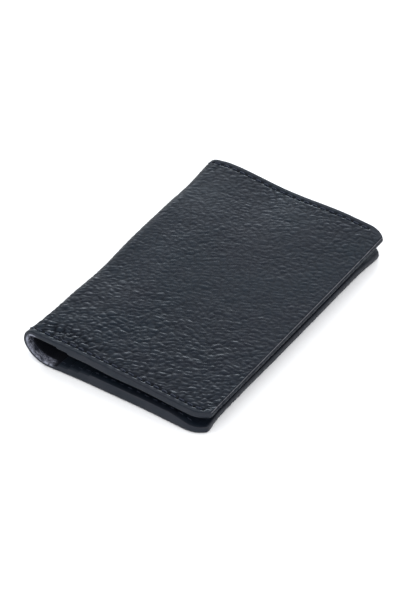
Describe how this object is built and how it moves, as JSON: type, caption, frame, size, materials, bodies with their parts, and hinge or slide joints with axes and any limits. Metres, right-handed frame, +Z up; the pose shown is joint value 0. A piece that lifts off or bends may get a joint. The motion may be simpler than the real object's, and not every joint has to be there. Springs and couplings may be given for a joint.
{
  "type": "card holder",
  "caption": "Bifold leather card holder, closed, with turned fore-edges, stitched short edges, a rounded spine that opens flat and card slots inside both covers.",
  "frame": {"origin": "middle of the underside of the closed holder", "axes": "+X from the spine to the fore-edge, +Y along the spine, +Z up from the back cover to the front cover"},
  "size_m": [0.0684, 0.105, 0.0124],
  "materials": {
    "outer_leather": "tumbled pebble grain, satin, very dark navy, with painted cut edges",
    "divider": "smooth thin leather, satin, very dark navy",
    "lining": "fine matte weave, grey-blue",
    "reinforcement": "bonded leather board, matte, hidden",
    "thread": "waxed twisted thread, very dark navy"
  },
  "bodies": {
    "back_cover": {"back_outer_leather": "outer_leather", "back_reinforcement": "reinforcement", "back_lining": "lining", "back_divider_1": "divider", "back_divider_2": "divider", "back_divider_3": "divider", "back_near_stitches": "thread", "back_far_stitches": "thread"},
    "spine_lower": {"spine_lower_leather": "outer_leather", "spine_lower_reinforcement": "reinforcement", "spine_lower_lining": "lining", "spine_lower_near_stitches": "thread", "spine_lower_far_stitches": "thread"},
    "spine_upper": {"spine_upper_leather": "outer_leather", "spine_upper_reinforcement": "reinforcement", "spine_upper_lining": "lining", "spine_upper_near_stitches": "thread", "spine_upper_far_stitches": "thread"},
    "front_cover": {"front_outer_leather": "outer_leather", "front_reinforcement": "reinforcement", "front_lining": "lining", "front_divider_1": "divider", "front_near_stitches": "thread", "front_far_stitches": "thread"}
  },
  "joints": [
    {"name": "fold_lower", "type": "hinge", "parent": "back_cover", "child": "spine_lower", "pos_m": [-0.02989, 0, 0.00139], "axis": [0, -1, 0], "range_deg": [0, 61.1]},
    {"name": "fold_middle", "type": "hinge", "parent": "spine_lower", "child": "spine_upper", "pos_m": [-0.03425, 0, 0.00798], "axis": [0, -1, 0], "range_deg": [0, 61.1]},
    {"name": "fold_upper", "type": "hinge", "parent": "spine_upper", "child": "front_cover", "pos_m": [-0.03204, 0, 0.012], "axis": [0, -1, 0], "range_deg": [0, 61.1]}
  ],
  "couplings": [
    {"joint": "fold_middle", "follows": "fold_lower", "ratio": 1},
    {"joint": "fold_upper", "follows": "fold_lower", "ratio": 1}
  ]
}
